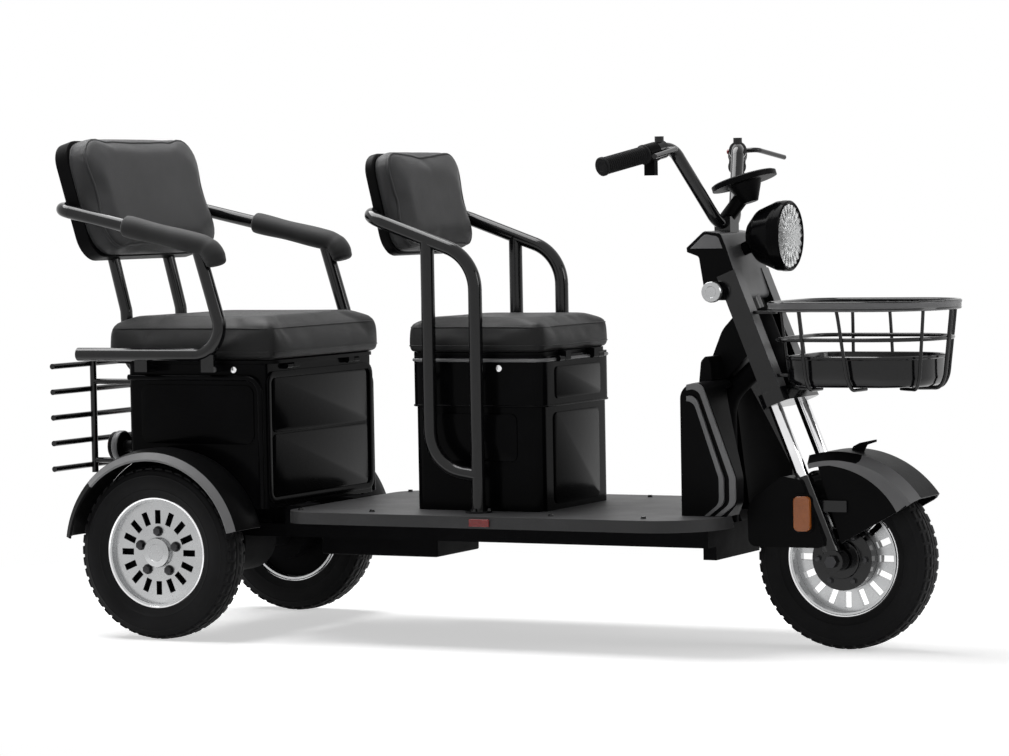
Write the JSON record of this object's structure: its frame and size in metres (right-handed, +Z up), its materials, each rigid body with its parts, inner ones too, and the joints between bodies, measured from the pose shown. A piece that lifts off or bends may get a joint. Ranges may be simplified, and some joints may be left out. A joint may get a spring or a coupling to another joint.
{
  "type": "three-wheeled electric passenger scooter",
  "caption": "Electric tricycle with a front rider seat and a wide rear seat, both on bins with tube arm frames, a flat deck, front basket and rear rack.",
  "frame": {"origin": "middle of the footprint on the ground", "axes": "+X forward, +Y to the vehicle's left, +Z up"},
  "size_m": [1.915, 0.684, 1.0397],
  "materials": {
    "painted_steel": "semi-gloss black",
    "deck_plastic": "matte dark grey",
    "gloss_black": "high gloss black",
    "satin_black": "satin black",
    "tube_black": "gloss black",
    "vinyl": "dark grey vinyl",
    "foam": "matte black foam",
    "tyre": "matte",
    "silver": "bright silver",
    "steel": "satin",
    "chrome": "polished",
    "clear": "clear",
    "amber": "gloss",
    "red": "gloss",
    "battery_case": "matte"
  },
  "bodies": {
    "chassis": {"frame": "painted_steel", "deck": "deck_plastic", "leg_shield": "satin_black", "neck_cover": "satin_black", "front_seat_box": "gloss_black", "front_seat_frame": "tube_black", "front_backrest_shell": "satin_black", "front_backrest_pad": "vinyl", "rear_seat_box": "gloss_black", "rear_seat_frame": "tube_black", "rear_arm_pads": "foam", "rear_backrest_shell": "satin_black", "rear_backrest_pad": "vinyl", "rear_rack": "tube_black", "rear_mudguards": "satin_black", "tail_lamps": "red", "rear_axle": "painted_steel", "rear_springs": "steel", "battery": "battery_case", "controller_box": "satin_black", "deck_reflectors": "red"},
    "steering": {"fork": "painted_steel", "fork_sliders": "painted_steel", "fork_covers": "satin_black", "front_axle": "steel", "handlebar": "tube_black", "grips": "foam", "brake_levers": "satin_black", "switch_blocks": "satin_black", "headlamp_bowl": "gloss_black", "headlamp_lens": "clear", "instrument": "satin_black", "dash_shroud": "satin_black", "column_lock": "chrome", "front_fender": "satin_black", "turn_signals": "amber", "basket": "tube_black"},
    "front_wheel": {"front_tyre": "tyre", "front_rim": "silver", "front_hub": "painted_steel"},
    "front_seat_lid": {"front_seat_base": "satin_black", "front_cushion": "vinyl"},
    "rear_seat_lid": {"rear_seat_base": "satin_black", "rear_cushion": "vinyl"},
    "rear_wheel_right": {"rear_tyre_right": "tyre", "rear_rim_right": "silver"},
    "rear_wheel_left": {"rear_tyre_left": "tyre", "rear_rim_left": "silver"}
  },
  "joints": [
    {"name": "steer", "type": "hinge", "parent": "chassis", "child": "steering", "pos_m": [0.739, 0, 0.18], "axis": [-0.3746, 0, 0.9272], "range_deg": [-35, 35]},
    {"name": "front_wheel_spin", "type": "hinge", "parent": "steering", "child": "front_wheel", "pos_m": [0.732, 0, 0.18], "axis": [0, 1, 0], "continuous": true},
    {"name": "rear_right_spin", "type": "hinge", "parent": "chassis", "child": "rear_wheel_right", "pos_m": [-0.668, -0.282, 0.18], "axis": [0, 1, 0], "continuous": true},
    {"name": "rear_left_spin", "type": "hinge", "parent": "chassis", "child": "rear_wheel_left", "pos_m": [-0.668, 0.282, 0.18], "axis": [0, 1, 0], "continuous": true},
    {"name": "front_lid", "type": "hinge", "parent": "chassis", "child": "front_seat_lid", "pos_m": [0.157, 0, 0.5735], "axis": [0, 1, 0], "range_deg": [0, 80]},
    {"name": "rear_lid", "type": "hinge", "parent": "chassis", "child": "rear_seat_lid", "pos_m": [-0.442, 0, 0.5585], "axis": [0, 1, 0], "range_deg": [0, 80]}
  ]
}
